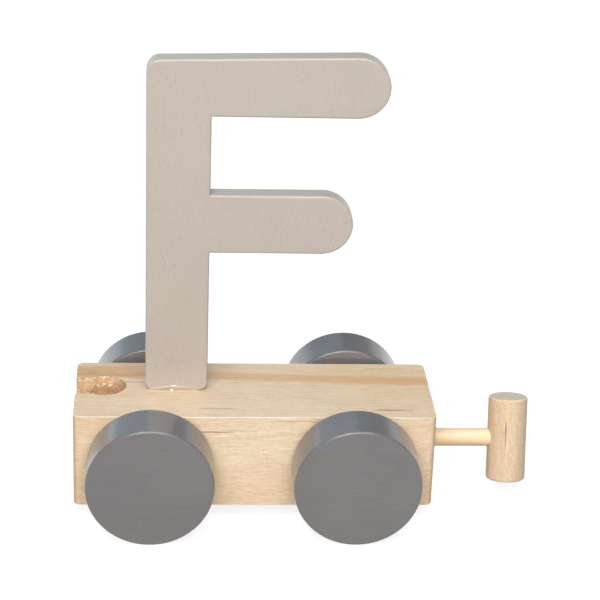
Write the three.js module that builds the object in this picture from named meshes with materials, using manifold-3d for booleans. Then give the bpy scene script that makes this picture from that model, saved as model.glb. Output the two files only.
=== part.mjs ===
// Letter train car: a wooden block on four wheels that carries a standing letter F.
// Millimetres, +Z up. +X is the coupler end and -Y is the side that the letter is read from.
// The origin is on the ground, below the middle of the car's overall length and width.

import * as THREE from 'three';
import { mergeVertices } from 'three/addons/utils/BufferGeometryUtils.js';
import Module from 'manifold-3d';

// Block
const BLOCK_LENGTH = 68;
const BLOCK_WIDTH = 23.4;
const BLOCK_HEIGHT = 18.6;
const BLOCK_CORNER_RADIUS = 1.6;
const BLOCK_EDGE_RADIUS = 0.8;
const GROUND_CLEARANCE = 2.9;

// Wheels and axles: a setback is counted from the block's end face
const WHEEL_DIAMETER = 23.8;
const WHEEL_THICKNESS = 9;
const WHEEL_EDGE_RADIUS = 0.7;
const WHEEL_SIDE_GAP = 1.25;
const AXLE_DIAMETER = 4;
const AXLE_EDGE_RADIUS = 0.4;
const AXLE_SEAT_DEPTH = 6;
const AXLE_RUNNING_CLEARANCE = 0.3;
const FRONT_AXLE_SETBACK = 15.2;
const REAR_AXLE_SETBACK = 14.4;

// The letter, the socket and the coupler share one line along X, a little behind the block's middle
const LINE_BEHIND_MIDDLE = 1.5;

// Letter: reaches are counted from the stem's outer side. Its head is planed lower than the top arm's end.
const LETTER_HEIGHT = 66.2;
const LETTER_THICKNESS = 4;
const LETTER_EDGE_RADIUS = 0.45;
const LETTER_SETBACK = 13.3;
const STEM_WIDTH = 11.8;
const TOP_ARM_REACH = 44.1;
const TOP_ARM_DEPTH = 11.5;
const MIDDLE_ARM_REACH = 38.3;
const MIDDLE_ARM_DEPTH = 11.5;
const ARM_GAP = 15;
const HEAD_DROP = 0.8;
const HEAD_CORNER_RADIUS = 1.7;
const FOOT_CORNER_RADIUS = 1;

// Pin between the letter and the block
const LETTER_PIN_DIAMETER = 2;
const LETTER_PIN_EDGE_RADIUS = 0.2;
const LETTER_PIN_SEAT_DEPTH = 6;

// Coupler: a peg on a shaft at the front end, glued in with a slight twist about the shaft
const SHAFT_DIAMETER = 3.5;
const SHAFT_EDGE_RADIUS = 0.3;
const SHAFT_ABOVE_UNDERSIDE = 7.8;
const SHAFT_BLOCK_SEAT_DEPTH = 8;
const SHAFT_PEG_SEAT_DEPTH = 5;
const PEG_DIAMETER = 7.6;
const PEG_LENGTH = 16.5;
const PEG_EDGE_RADIUS = 0.4;
const PEG_REACH = 15.9;
const PEG_TWIST = THREE.MathUtils.degToRad(13);

// Socket for the next car's peg, through the block at the rear end
const SOCKET_CLEARANCE = 0.25;
const SOCKET_SETBACK = 5.6;
const SOCKET_MOUTH_WIDTH = 6.9;

// Fits, and how finely round surfaces are divided
const GLUE_CLEARANCE = 0.1;
const CUT_OVERSHOOT = 1;
const WHEEL_SIDES = 48;
const DOWEL_SIDES = 32;
const CORNER_STEPS = 8;
const EDGE_STEPS = 2;

// Finishes
const NATURAL_PINE = { color: 0xedd0b1, roughness: 0.6, metalness: 0 };
const BEECH_DOWEL = { color: 0xe3c9aa, roughness: 0.65, metalness: 0 };
const PALE_DOWEL = { color: 0xf3e2b8, roughness: 0.6, metalness: 0 };
const GREIGE_PAINT = { color: 0xc8bbac, roughness: 0.5, metalness: 0 };
const GREY_PAINT = { color: 0x848182, roughness: 0.4, metalness: 0 };

// Places that follow from the sizes above
const WHEEL_RADIUS = WHEEL_DIAMETER / 2;
const AXLE_ABOVE_UNDERSIDE = WHEEL_RADIUS - GROUND_CLEARANCE;
const FRONT_X = BLOCK_LENGTH / 2;
const REAR_X = -BLOCK_LENGTH / 2;
const FRONT_AXLE_X = FRONT_X - FRONT_AXLE_SETBACK;
const REAR_AXLE_X = REAR_X + REAR_AXLE_SETBACK;
const SOCKET_X = REAR_X + SOCKET_SETBACK;
const LETTER_X = REAR_X + LETTER_SETBACK;
const PEG_X = FRONT_X + PEG_REACH;
const PIN_X = LETTER_X + STEM_WIDTH / 2;
const TOP_ARM_HEIGHT = LETTER_HEIGHT - TOP_ARM_DEPTH;
const MIDDLE_ARM_HEIGHT = TOP_ARM_HEIGHT - ARM_GAP - MIDDLE_ARM_DEPTH;

const wasm = await Module();
wasm.setup();

// Boolean cuts

function toSolid(geometry) {
  const bare = geometry.clone();
  bare.deleteAttribute('normal');
  bare.deleteAttribute('uv');
  const merged = mergeVertices(bare);
  return new wasm.Manifold(new wasm.Mesh({
    numProp: 3,
    vertProperties: new Float32Array(merged.attributes.position.array),
    triVerts: new Uint32Array(merged.index.array),
  }));
}

function toGeometry(solid) {
  const mesh = solid.getMesh();
  const geometry = new THREE.BufferGeometry();
  geometry.setAttribute('position', new THREE.BufferAttribute(mesh.vertProperties, mesh.numProp));
  geometry.setIndex(new THREE.BufferAttribute(mesh.triVerts, 1));
  const faceted = geometry.toNonIndexed();
  faceted.computeVertexNormals();
  return faceted;
}

function cut(geometry, tools) {
  const start = toSolid(geometry);
  return toGeometry(tools.reduce((solid, tool) => solid.subtract(toSolid(tool)), start));
}

// Round stock

// A quarter round from one angle to another, as [radius, height] points of a turned profile.
function quarterRound(centreRadius, centreHeight, round, fromAngle) {
  return Array.from({ length: EDGE_STEPS + 1 }, (_, step) => {
    const angle = fromAngle + (step / EDGE_STEPS) * (Math.PI / 2);
    return [centreRadius + round * Math.cos(angle), centreHeight + round * Math.sin(angle)];
  });
}

// Turns a profile about +Z. Flats face the axes, so the size across flats is the true diameter.
function turned(profile, sides) {
  const toFlats = 1 / Math.cos(Math.PI / sides);
  const points = profile.map(([radius, height]) => new THREE.Vector2(radius * toFlats, height));
  return new THREE.LatheGeometry(points, sides, Math.PI / sides).rotateX(Math.PI / 2);
}

// A dowel along +Z from height 0, with eased ends.
function dowel(diameter, length, edge) {
  const radius = diameter / 2;
  const profile = [
    [0, 0],
    ...quarterRound(radius - edge, edge, edge, -Math.PI / 2),
    ...quarterRound(radius - edge, length - edge, edge, 0),
    [0, length],
  ];
  return turned(profile, DOWEL_SIDES);
}

// A drill of a diameter along +Z from height 0.
function drill(diameter, length) {
  const radius = diameter / 2;
  return turned([[0, 0], [radius, 0], [radius, length], [0, length]], DOWEL_SIDES);
}

// Outlines extruded with rounded edges, along +Z from height 0
function extruded(outline, height, edge) {
  return new THREE.ExtrudeGeometry(outline, {
    depth: height - 2 * edge,
    bevelThickness: edge,
    bevelSize: edge,
    bevelOffset: -edge,
    bevelSegments: EDGE_STEPS,
    curveSegments: CORNER_STEPS,
  }).translate(0, 0, edge);
}

// Block: underside at height 0, with bores for the axles, the shaft, the letter's pin and the socket

function blockOutline() {
  const farX = BLOCK_LENGTH / 2 - BLOCK_CORNER_RADIUS;
  const farY = BLOCK_WIDTH / 2 - BLOCK_CORNER_RADIUS;
  const outline = new THREE.Shape();
  outline.absarc(farX, farY, BLOCK_CORNER_RADIUS, 0, Math.PI / 2);
  outline.absarc(-farX, farY, BLOCK_CORNER_RADIUS, Math.PI / 2, Math.PI);
  outline.absarc(-farX, -farY, BLOCK_CORNER_RADIUS, Math.PI, 1.5 * Math.PI);
  outline.absarc(farX, -farY, BLOCK_CORNER_RADIUS, 1.5 * Math.PI, 2 * Math.PI);
  outline.closePath();
  return outline;
}

function axleBore(x) {
  const length = BLOCK_WIDTH + 2 * CUT_OVERSHOOT;
  return drill(AXLE_DIAMETER + 2 * AXLE_RUNNING_CLEARANCE, length)
    .translate(0, 0, -length / 2)
    .rotateX(Math.PI / 2)
    .translate(x, 0, AXLE_ABOVE_UNDERSIDE);
}

function shaftBore() {
  const depth = SHAFT_BLOCK_SEAT_DEPTH + GLUE_CLEARANCE;
  return drill(SHAFT_DIAMETER + 2 * GLUE_CLEARANCE, depth + CUT_OVERSHOOT)
    .rotateY(Math.PI / 2)
    .translate(FRONT_X - depth, LINE_BEHIND_MIDDLE, SHAFT_ABOVE_UNDERSIDE);
}

function pinBore() {
  const depth = LETTER_PIN_SEAT_DEPTH + GLUE_CLEARANCE;
  return drill(LETTER_PIN_DIAMETER + 2 * GLUE_CLEARANCE, depth + CUT_OVERSHOOT)
    .translate(PIN_X, LINE_BEHIND_MIDDLE, BLOCK_HEIGHT - depth);
}

function socketBore() {
  return drill(PEG_DIAMETER + 2 * SOCKET_CLEARANCE, BLOCK_HEIGHT + 2 * CUT_OVERSHOOT)
    .translate(SOCKET_X, LINE_BEHIND_MIDDLE, -CUT_OVERSHOOT);
}

function socketMouth() {
  const length = SOCKET_SETBACK + CUT_OVERSHOOT;
  return new THREE.BoxGeometry(length, SOCKET_MOUTH_WIDTH, BLOCK_HEIGHT + 2 * CUT_OVERSHOOT)
    .translate(SOCKET_X - length / 2, LINE_BEHIND_MIDDLE, BLOCK_HEIGHT / 2);
}

function makeBlock() {
  const blank = extruded(blockOutline(), BLOCK_HEIGHT, BLOCK_EDGE_RADIUS);
  const bores = [axleBore(FRONT_AXLE_X), axleBore(REAR_AXLE_X), shaftBore(), pinBore()];
  return cut(blank, [...bores, socketBore(), socketMouth()]);
}

// Letter: foot at height 0, stem's outer side at x 0, mid-thickness at y 0

function letterOutline() {
  const topRound = TOP_ARM_DEPTH / 2;
  const middleRound = MIDDLE_ARM_DEPTH / 2;
  const topCentre = TOP_ARM_HEIGHT + topRound;
  const middleCentre = MIDDLE_ARM_HEIGHT + middleRound;
  const head = LETTER_HEIGHT - HEAD_DROP - HEAD_CORNER_RADIUS;
  const outline = new THREE.Shape();
  outline.absarc(FOOT_CORNER_RADIUS, FOOT_CORNER_RADIUS, FOOT_CORNER_RADIUS, Math.PI, 1.5 * Math.PI);
  outline.absarc(STEM_WIDTH - FOOT_CORNER_RADIUS, FOOT_CORNER_RADIUS, FOOT_CORNER_RADIUS, -Math.PI / 2, 0);
  outline.lineTo(STEM_WIDTH, MIDDLE_ARM_HEIGHT);
  outline.absarc(MIDDLE_ARM_REACH - middleRound, middleCentre, middleRound, -Math.PI / 2, Math.PI / 2);
  outline.lineTo(STEM_WIDTH, MIDDLE_ARM_HEIGHT + MIDDLE_ARM_DEPTH);
  outline.lineTo(STEM_WIDTH, TOP_ARM_HEIGHT);
  outline.absarc(TOP_ARM_REACH - topRound, topCentre, topRound, -Math.PI / 2, Math.PI / 2);
  outline.absarc(HEAD_CORNER_RADIUS, head, HEAD_CORNER_RADIUS, Math.PI / 2, Math.PI);
  outline.closePath();
  return outline;
}

function makeLetter() {
  const board = extruded(letterOutline(), LETTER_THICKNESS, LETTER_EDGE_RADIUS)
    .translate(0, 0, -LETTER_THICKNESS / 2)
    .rotateX(Math.PI / 2);
  const depth = LETTER_PIN_SEAT_DEPTH + GLUE_CLEARANCE;
  const bore = drill(LETTER_PIN_DIAMETER + 2 * GLUE_CLEARANCE, depth + CUT_OVERSHOOT)
    .translate(STEM_WIDTH / 2, 0, -CUT_OVERSHOOT);
  return cut(board, [bore]);
}

// Wheel: inner face at height 0 with a blind hole for the axle, outer face plain
function makeWheel() {
  const rim = WHEEL_RADIUS - WHEEL_EDGE_RADIUS;
  const boreRadius = AXLE_DIAMETER / 2 + GLUE_CLEARANCE;
  const boreDepth = AXLE_SEAT_DEPTH + GLUE_CLEARANCE;
  const profile = [
    [0, boreDepth],
    [boreRadius, boreDepth],
    [boreRadius, 0],
    ...quarterRound(rim, WHEEL_EDGE_RADIUS, WHEEL_EDGE_RADIUS, -Math.PI / 2),
    ...quarterRound(rim, WHEEL_THICKNESS - WHEEL_EDGE_RADIUS, WHEEL_EDGE_RADIUS, 0),
    [0, WHEEL_THICKNESS],
  ];
  return turned(profile, WHEEL_SIDES);
}

// Axle: along Y, centred, seated in a wheel at each end
function makeAxle() {
  const length = BLOCK_WIDTH + 2 * (WHEEL_SIDE_GAP + AXLE_SEAT_DEPTH);
  return dowel(AXLE_DIAMETER, length, AXLE_EDGE_RADIUS)
    .translate(0, 0, -length / 2)
    .rotateX(Math.PI / 2);
}

// Letter pin: half in the block and half in the letter, centred on the joint between them
function makeLetterPin() {
  const length = 2 * LETTER_PIN_SEAT_DEPTH + GLUE_CLEARANCE;
  return dowel(LETTER_PIN_DIAMETER, length, LETTER_PIN_EDGE_RADIUS).translate(0, 0, -LETTER_PIN_SEAT_DEPTH);
}

// Coupler shaft: along X, from its seat in the block to its seat in the peg
function makeShaft() {
  const length = SHAFT_BLOCK_SEAT_DEPTH + PEG_REACH - PEG_DIAMETER / 2 + SHAFT_PEG_SEAT_DEPTH;
  return dowel(SHAFT_DIAMETER, length, SHAFT_EDGE_RADIUS)
    .rotateY(Math.PI / 2)
    .translate(-SHAFT_BLOCK_SEAT_DEPTH, 0, 0);
}

// Coupler peg: along Z, centred, with a blind cross hole for the shaft on its inner side
function makePeg() {
  const pegRadius = PEG_DIAMETER / 2;
  const stock = dowel(PEG_DIAMETER, PEG_LENGTH, PEG_EDGE_RADIUS).translate(0, 0, -PEG_LENGTH / 2);
  const depth = SHAFT_PEG_SEAT_DEPTH + GLUE_CLEARANCE;
  const bore = drill(SHAFT_DIAMETER + 2 * GLUE_CLEARANCE, depth + CUT_OVERSHOOT)
    .rotateY(Math.PI / 2)
    .translate(-pegRadius - CUT_OVERSHOOT, 0, 0);
  return cut(stock, [bore]);
}

// Assembly

function piece(name, geometry, finish) {
  const mesh = new THREE.Mesh(geometry, new THREE.MeshStandardMaterial(finish));
  mesh.name = name;
  return mesh;
}

function coupler() {
  const group = new THREE.Group();
  group.position.set(FRONT_X, LINE_BEHIND_MIDDLE, SHAFT_ABOVE_UNDERSIDE);
  const peg = piece('coupler_peg', makePeg(), BEECH_DOWEL);
  peg.position.x = PEG_REACH;
  peg.rotation.x = -PEG_TWIST;
  group.add(piece('coupler_shaft', makeShaft(), PALE_DOWEL), peg);
  return group;
}

function carBody() {
  const group = new THREE.Group();
  group.position.z = GROUND_CLEARANCE;
  const letter = piece('letter', makeLetter(), GREIGE_PAINT);
  letter.position.set(LETTER_X, LINE_BEHIND_MIDDLE, BLOCK_HEIGHT + GLUE_CLEARANCE);
  const pin = piece('letter_pin', makeLetterPin(), PALE_DOWEL);
  pin.position.set(PIN_X, LINE_BEHIND_MIDDLE, BLOCK_HEIGHT);
  group.add(piece('body_block', makeBlock(), NATURAL_PINE), letter, pin, coupler());
  return group;
}

function wheelset(end, x) {
  const group = new THREE.Group();
  group.position.set(x, 0, WHEEL_RADIUS);
  group.add(piece(`${end}_axle`, makeAxle(), PALE_DOWEL));
  for (const [side, outward] of [['left', 1], ['right', -1]]) {
    const wheel = piece(`${end}_${side}_wheel`, makeWheel(), GREY_PAINT);
    wheel.position.y = outward * (BLOCK_WIDTH / 2 + WHEEL_SIDE_GAP);
    wheel.rotation.x = -outward * (Math.PI / 2);
    group.add(wheel);
  }
  return group;
}

const car = new THREE.Group();
car.position.x = -(REAR_X + PEG_X + PEG_DIAMETER / 2) / 2;
car.add(carBody(), wheelset('front', FRONT_AXLE_X), wheelset('rear', REAR_AXLE_X));

export default car;
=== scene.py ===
"""Letter train car: the finished look of a wooden toy car that carries a standing letter F.

Every mesh is in metres, in the frame of the solids: +Z up, +X towards the coupler and -Y towards the side
that the letter is read from. Each sub-assembly is a class that builds its meshes and dresses them.
"""

from __future__ import annotations

import logging
import math
from abc import ABC, abstractmethod
from collections.abc import Iterable, Mapping, Sequence
from dataclasses import dataclass, replace
from enum import Enum, IntEnum

import bmesh
import bpy
from bmesh.types import BMEdge, BMesh, BMFace, BMVert
from bpy.types import Material, Node, NodeSocket, Object, Scene, World
from mathutils import Color, Matrix, Vector, noise

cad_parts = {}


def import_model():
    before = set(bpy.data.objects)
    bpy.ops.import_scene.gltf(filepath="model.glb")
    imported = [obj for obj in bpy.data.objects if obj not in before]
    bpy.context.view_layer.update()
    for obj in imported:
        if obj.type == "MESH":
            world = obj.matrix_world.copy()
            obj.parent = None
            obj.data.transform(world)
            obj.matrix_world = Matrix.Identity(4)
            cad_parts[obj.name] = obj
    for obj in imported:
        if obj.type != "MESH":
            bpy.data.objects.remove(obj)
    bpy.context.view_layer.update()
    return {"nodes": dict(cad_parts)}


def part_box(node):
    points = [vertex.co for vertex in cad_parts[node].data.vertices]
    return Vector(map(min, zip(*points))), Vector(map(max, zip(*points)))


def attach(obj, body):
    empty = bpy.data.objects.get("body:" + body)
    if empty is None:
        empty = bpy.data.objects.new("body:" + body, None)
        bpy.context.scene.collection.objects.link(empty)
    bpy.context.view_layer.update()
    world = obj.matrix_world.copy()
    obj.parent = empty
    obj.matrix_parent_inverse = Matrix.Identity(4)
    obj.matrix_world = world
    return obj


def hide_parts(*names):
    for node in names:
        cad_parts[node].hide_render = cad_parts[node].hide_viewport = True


LOG = logging.getLogger("letter_train_car")
MM = 0.001
UP = Vector((0, 0, 1))
TOWARDS_COUPLER = Vector((1, 0, 0))
TOWARDS_BACK = Vector((0, 1, 0))
TOWARDS_READER = -TOWARDS_BACK
FULL_TURN = 2 * math.pi
HALF_TURN = math.pi
QUARTER_TURN = math.pi / 2
SHARP_ANGLE = math.radians(38)
WELD = 0.0005 * MM
# How far a cutter stands out of what it cuts, and how much deeper a hole is than what sits in it
OVERSHOOT = 1 * MM
END_GAP = 0.1 * MM
HOLE_SIDES = 64
# The radii of bores that two pieces share
SHAFT_BORE = 1.85 * MM
PIN_BORE = 1.1 * MM
# How much of a face's normal lies along an axis where the face is mostly or nearly square to it
MOSTLY = 0.5
NEARLY = 0.9
# The parts of a noise's range that the finishes sift out
MIDDLE = (0.3, 0.7)
MOST = (0.2, 0.8)
# The numbers of the mix node's colour sockets
MIX_FIRST = 6
MIX_SECOND = 7
MIX_RESULT = 2

Span = tuple[float, float]
Triple = tuple[float, float, float]
Rgba = tuple[float, float, float, float]
Level = NodeSocket | float | Sequence[float]


class Body(str, Enum):
    """The moving bodies of the car."""

    CAR = "car"
    FRONT = "front_wheelset"
    REAR = "rear_wheelset"


class Slot(str, Enum):
    """The car's finishes, by name."""

    NATURAL_WOOD = "natural_wood"
    LETTER_PAINT = "letter_paint"
    WHEEL_PAINT = "wheel_paint"
    PALE_DOWEL = "pale_dowel"
    PEG_WOOD = "peg_wood"


class BlockFace(IntEnum):
    """The kinds of face on the block, in the order of its materials."""

    PLANED = 0
    SAWN_END = 1
    BORED = 2
    # Rounded edges, painted pale as a painted highlight
    HIGHLIT_EDGE = 3


class PegFace(IntEnum):
    """The kinds of face on the peg, in the order of its materials."""

    ROUND = 0
    SAWN_END = 1


class Side(IntEnum):
    """The sides of the car, as the way that each one faces along Y."""

    LEFT = 1
    RIGHT = -1


class Grain(Enum):
    """The way that a piece's fibres run, as the share of each axis that lies across them."""

    ALONG_X = (0.0, 1.0, 1.0)
    ALONG_Y = (1.0, 0.0, 1.0)
    ALONG_Z = (1.0, 1.0, 0.0)


def colour(code: int) -> Rgba:
    """Scene-linear colour of a 0xRRGGBB code."""
    channels = [(code >> shift & 255) / 255 for shift in (16, 8, 0)]
    return (*Color(channels).from_srgb_to_scene_linear(), 1.0)


def grey(level: float) -> Triple:
    """A tint that is the same in every channel."""
    return (level, level, level)


def metres(sizes: Triple) -> Triple:
    """A place or size in metres that is given in millimetres."""
    return tuple(size * MM for size in sizes)


# Drawing and turning meshes


class Pen:
    """Draws one outline in a new bmesh, as straight runs and spun arcs."""

    def __init__(self, start: Vector) -> None:
        """Sets the pen down.

        Args:
            start: The outline's first point.
        """
        self.mesh = bmesh.new()
        self.first = self.mesh.verts.new(start)
        self.last = self.first

    def line(self, point: Vector) -> None:
        """Draws a straight run.

        Args:
            point: The run's end.
        """
        corner = self.mesh.verts.new(point)
        self.mesh.edges.new((self.last, corner))
        self.last = corner

    def arc(self, centre: Vector, axis: Vector, steps: int, angle: float = QUARTER_TURN) -> None:
        """Draws an arc from the pen's place, about an axis through a centre, in straight steps."""
        made = bmesh.ops.spin(
            self.mesh, geom=[self.last], cent=centre, axis=axis, angle=angle, steps=steps
        )
        self.last = next(item for item in made["geom_last"] if isinstance(item, BMVert))

    def bend(
        self, start: Vector, centre: Vector, axis: Vector, steps: int, angle: float = QUARTER_TURN
    ) -> None:
        """Draws a straight run to the start of an arc, and the arc."""
        self.line(start)
        self.arc(centre, axis, steps, angle)

    def close(self) -> BMesh:
        """Joins the outline's ends and fills it.

        Returns:
            The bmesh, with the one face inside the outline.
        """
        if (self.last.co - self.first.co).length > WELD:
            self.mesh.edges.new((self.last, self.first))
        bmesh.ops.remove_doubles(self.mesh, verts=self.mesh.verts[:], dist=WELD)
        bmesh.ops.contextual_create(self.mesh, geom=self.mesh.edges[:])
        return self.mesh


def thicken(mesh: BMesh, lift: Vector) -> None:
    """Extrudes the one face in a bmesh into a board.

    Args:
        mesh: The bmesh that holds the face.
        lift: How far and which way.
    """
    grown = bmesh.ops.extrude_face_region(mesh, geom=mesh.faces[:])["geom"]
    raised = [item for item in grown if isinstance(item, BMVert)]
    bmesh.ops.translate(mesh, verts=raised, vec=lift)
    bmesh.ops.recalc_face_normals(mesh, faces=mesh.faces[:])


def ease(mesh: BMesh, edges: Iterable[BMEdge], radius: float, steps: int) -> list[BMFace]:
    """Rounds edges over to a radius, in a number of steps, and gives the new faces."""
    made = bmesh.ops.bevel(
        mesh, geom=list(edges), offset=radius, offset_type="OFFSET", segments=steps, profile=0.5,
        affect="EDGES", material=-1, clamp_overlap=True,
    )
    return made["faces"]


@dataclass(frozen=True)
class BlindHole:
    """A round hole that ends inside its piece."""

    radius: float
    depth: float


def turned(
    radius: float, length: float, edge: float, edge_steps: int, sides: int, hole: BlindHole | None = None
) -> BMesh:
    """Turns a dowel or a disc along +Z from the origin, with eased ends.

    Args:
        radius: Its radius.
        length: Its length.
        edge: The radius of its eased ends.
        edge_steps: How many facets an eased end has.
        sides: How many sides it has.
        hole: A hole in the middle of its first end.

    Returns:
        A new bmesh.
    """
    inside = radius - edge
    far = length - edge
    pen = Pen(Vector((0, 0, hole.depth if hole else 0)))
    if hole:
        pen.line(Vector((hole.radius, 0, hole.depth)))
        pen.line(Vector((hole.radius, 0, 0)))
    pen.bend(Vector((inside, 0, 0)), Vector((inside, 0, edge)), TOWARDS_READER, edge_steps)
    pen.bend(Vector((radius, 0, far)), Vector((inside, 0, far)), TOWARDS_READER, edge_steps)
    pen.line(Vector((0, 0, length)))
    mesh = pen.mesh
    bmesh.ops.spin(
        mesh, geom=mesh.verts[:] + mesh.edges[:], cent=(0, 0, 0), axis=UP, angle=FULL_TURN, steps=sides,
        use_merge=True,
    )
    bmesh.ops.remove_doubles(mesh, verts=mesh.verts[:], dist=WELD)
    bmesh.ops.recalc_face_normals(mesh, faces=mesh.faces[:])
    return mesh


def add_drill(mesh: BMesh, radius: float, start: Vector, way: Vector, depth: float) -> None:
    """Adds a round cutter to a bmesh.

    Args:
        mesh: The bmesh that holds the cutters.
        radius: The cutter's radius.
        start: The middle of its first end.
        way: The direction from there to its other end, of length 1.
        depth: Its length.
    """
    turn = UP.rotation_difference(way).to_matrix().to_4x4()
    place = Matrix.Translation(start + way * (depth / 2)) @ turn
    bmesh.ops.create_cone(
        mesh, cap_ends=True, segments=HOLE_SIDES, radius1=radius, radius2=radius, depth=depth, matrix=place
    )


def new_object(mesh: BMesh, name: str, materials: Iterable[Material]) -> Object:
    """Turns a bmesh into an object at the origin.

    Args:
        mesh: The bmesh, which is freed.
        name: The object's name.
        materials: Its materials, in the order of the faces' numbers.

    Returns:
        The new object.
    """
    data = bpy.data.meshes.new(name)
    mesh.to_mesh(data)
    mesh.free()
    for material in materials:
        data.materials.append(material)
    made = bpy.data.objects.new(name, data)
    bpy.context.scene.collection.objects.link(made)
    return made


def cut_away(piece: Object, cutter: Object) -> None:
    """Cuts one object out of another and removes it.

    Args:
        piece: The object that is cut.
        cutter: The object that is cut away. Its material goes onto the cut walls.
    """
    cut = piece.modifiers.new("Cut", "BOOLEAN")
    cut.operation = "DIFFERENCE"
    cut.solver = "EXACT"
    cut.material_mode = "TRANSFER"
    cut.object = cutter
    bpy.context.view_layer.update()
    whole = piece.data
    graph = bpy.context.evaluated_depsgraph_get()
    piece.data = bpy.data.meshes.new_from_object(piece.evaluated_get(graph))
    piece.modifiers.clear()
    piece.data.name = whole.name
    bpy.data.meshes.remove(whole)
    bpy.data.objects.remove(cutter, do_unlink=True)


def seat(piece: Object, body: Body, node: str | None = None) -> None:
    """Shades a finished piece, sets it on its body and reports it.

    Args:
        piece: The finished object.
        body: The body that it moves with.
        node: The solid that it stands for.
    """
    piece.data.shade_smooth()
    piece.data.set_sharp_from_angle(angle=SHARP_ANGLE)
    weighted = piece.modifiers.new("Even flats", "WEIGHTED_NORMAL")
    weighted.keep_sharp = True
    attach(piece, body.value)
    if node is not None:
        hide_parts(node)
    LOG.info("%s rides on %s: %d faces", piece.name, body.value, len(piece.data.polygons))


def dress_solid(solid: Object, material: Material) -> None:
    """Gives a solid that stays as it is its material, and reports it."""
    solid.material_slots[0].material = material
    LOG.info("%s stays: dressed in %s", solid.name, material.name)


# Finishes


@dataclass(frozen=True)
class Pattern:
    """Cloudy noise: its blobs per metre each way, its layers, their roughness, and its turn and shift."""

    scale: Triple
    detail: float = 3
    roughness: float = 0.55
    turn: Triple = (0, 0, 0)
    shift: Triple = (0, 0, 0)


@dataclass(frozen=True)
class GrainPattern:
    """Noise that follows the fibres: its blobs per metre along and across them, its layers and its shift."""

    along: float
    across: float
    detail: float = 3
    roughness: float = 0.55
    shift: Triple = (0, 0, 0)

    def on(self, grain: Grain, turn: Triple = (0, 0, 0)) -> Pattern:
        """The noise on a piece, by the way that its fibres run and its turn."""
        scale = tuple(self.along + (self.across - self.along) * share for share in grain.value)
        return Pattern(scale, self.detail, self.roughness, turn, self.shift)


@dataclass(frozen=True)
class Tint:
    """A change of colour that follows a level: the span that counts, and the tints at its two ends."""

    span: Span
    dark: Triple
    light: Triple


@dataclass(frozen=True)
class Mark:
    """A colour that comes up with a level: the span that it comes up over, its code and its share."""

    span: Span
    tone: int
    share: float = 1


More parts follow.
